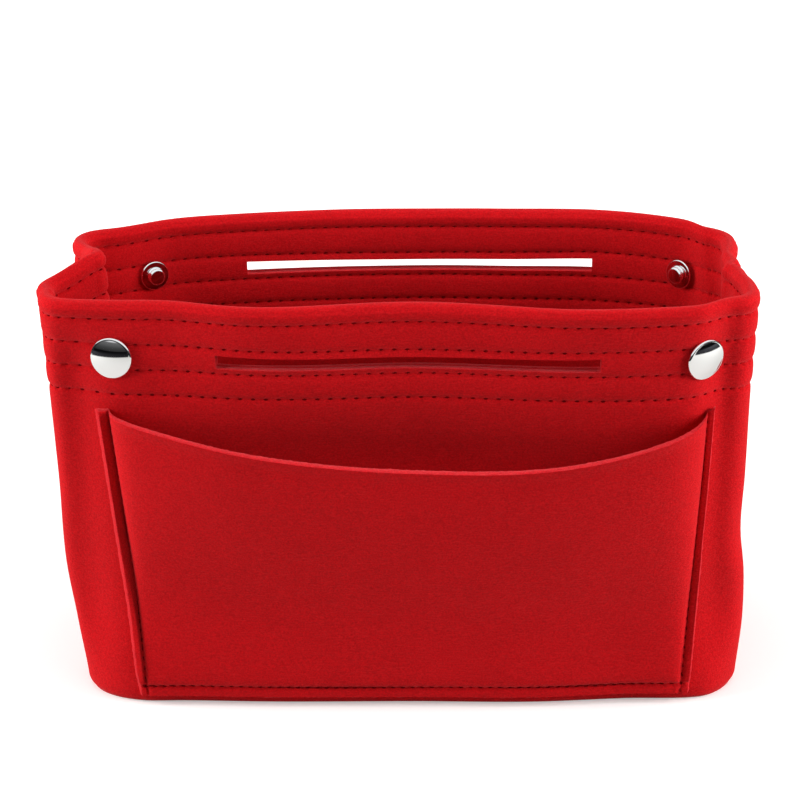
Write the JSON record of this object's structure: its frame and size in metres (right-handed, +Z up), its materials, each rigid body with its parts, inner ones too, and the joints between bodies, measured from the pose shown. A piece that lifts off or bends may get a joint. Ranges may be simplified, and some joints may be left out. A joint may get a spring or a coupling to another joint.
{
  "type": "handbag organizer insert",
  "caption": "Red felt handbag organizer insert with a quilted rim band, hand slits, concave outer pockets, inward-folding end gussets and chrome snap fasteners.",
  "frame": {"origin": "middle of the underside of the base panel, on the surface that the organizer stands on", "axes": "+X along the organizer's length to the right as seen from the front, -Y towards the front, +Z up out of its mouth"},
  "size_m": [0.2502, 0.1262, 0.1522],
  "materials": {
    "red_felt": "matte",
    "red_thread": "satin",
    "snap_chrome": "polished",
    "snap_steel": "satin"
  },
  "bodies": {
    "rear_body": {"rear_wall": "red_felt", "rear_facing": "red_felt", "rear_pocket": "red_felt", "rear_inner_pocket": "red_felt", "rear_cap_left": "snap_chrome", "rear_cap_right": "snap_chrome", "rear_stud_left": "snap_steel", "rear_stud_right": "snap_steel", "base_panel": "red_felt"},
    "left_gusset_rear": {"left_gusset_rear_panel": "red_felt", "left_gusset_rear_facing": "red_felt"},
    "left_gusset_front": {"left_gusset_front_panel": "red_felt", "left_gusset_front_facing": "red_felt"},
    "front_body": {"front_wall": "red_felt", "front_facing": "red_felt", "front_pocket": "red_felt", "front_inner_pocket": "red_felt", "front_cap_left": "snap_chrome", "front_cap_right": "snap_chrome", "front_socket_left": "snap_steel", "front_socket_right": "snap_steel"},
    "right_gusset_rear": {"right_gusset_rear_panel": "red_felt", "right_gusset_rear_facing": "red_felt"},
    "right_gusset_front": {"right_gusset_front_panel": "red_felt", "right_gusset_front_facing": "red_felt"}
  },
  "joints": [
    {"name": "fold_left_rear", "type": "hinge", "parent": "rear_body", "child": "left_gusset_rear", "pos_m": [-0.11479, 0.027, 0], "axis": [-0.0349, 0, 0.9994], "range_deg": [0, 65], "stiffness_Nm_per_rad": 0.03, "deforming": ["base_panel"]},
    {"name": "fold_left_crease", "type": "hinge", "parent": "left_gusset_rear", "child": "left_gusset_front", "pos_m": [-0.11018, 0, 0.00016], "axis": [-0.0349, 0, 0.9994], "range_deg": [-130, 0]},
    {"name": "fold_left_front", "type": "hinge", "parent": "left_gusset_front", "child": "front_body", "pos_m": [-0.11479, -0.027, 0], "axis": [-0.0349, 0, 0.9994], "range_deg": [0, 65]},
    {"name": "fold_right_rear", "type": "hinge", "parent": "rear_body", "child": "right_gusset_rear", "pos_m": [0.11479, 0.027, 0], "axis": [0.0349, 0, 0.9994], "range_deg": [-65, 0]},
    {"name": "fold_right_front", "type": "hinge", "parent": "front_body", "child": "right_gusset_front", "pos_m": [0.11479, -0.027, 0], "axis": [0.0349, 0, 0.9994], "range_deg": [0, 65]}
  ],
  "couplings": [
    {"joint": "fold_left_crease", "follows": "fold_left_rear", "ratio": -2},
    {"joint": "fold_left_front", "follows": "fold_left_rear", "ratio": 1},
    {"joint": "fold_right_rear", "follows": "fold_left_rear", "ratio": -1},
    {"joint": "fold_right_front", "follows": "fold_left_rear", "ratio": 1}
  ]
}
